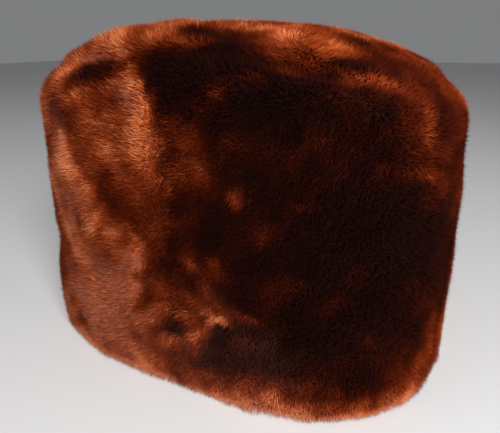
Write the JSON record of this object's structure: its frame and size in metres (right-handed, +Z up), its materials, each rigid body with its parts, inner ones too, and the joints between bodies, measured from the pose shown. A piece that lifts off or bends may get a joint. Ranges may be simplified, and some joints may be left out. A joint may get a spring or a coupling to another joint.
{
  "type": "busby hat",
  "caption": "Tall rounded fur hat with nearly upright sides and an arched crown, open underneath for the head, sewn from two side panels and a crown of sheared pile.",
  "frame": {"origin": "centre of the hat's outline, on the surface that its rim stands on", "axes": "+Z up through the crown, +X towards the wearer's front along the hat's length, +Y towards the wearer's left"},
  "size_m": [0.2205, 0.1931, 0.1556],
  "materials": {
    "panel_fur": "dense sheared fur, dark brown at the roots and rust brown at the tips, on brown hide",
    "crown_fur": "dense sheared fur, dark brown at the roots and rust brown at the tips, on brown hide"
  },
  "bodies": {
    "root": {"front_panel": "panel_fur", "back_panel": "panel_fur", "crown": "crown_fur"}
  },
  "joints": []
}
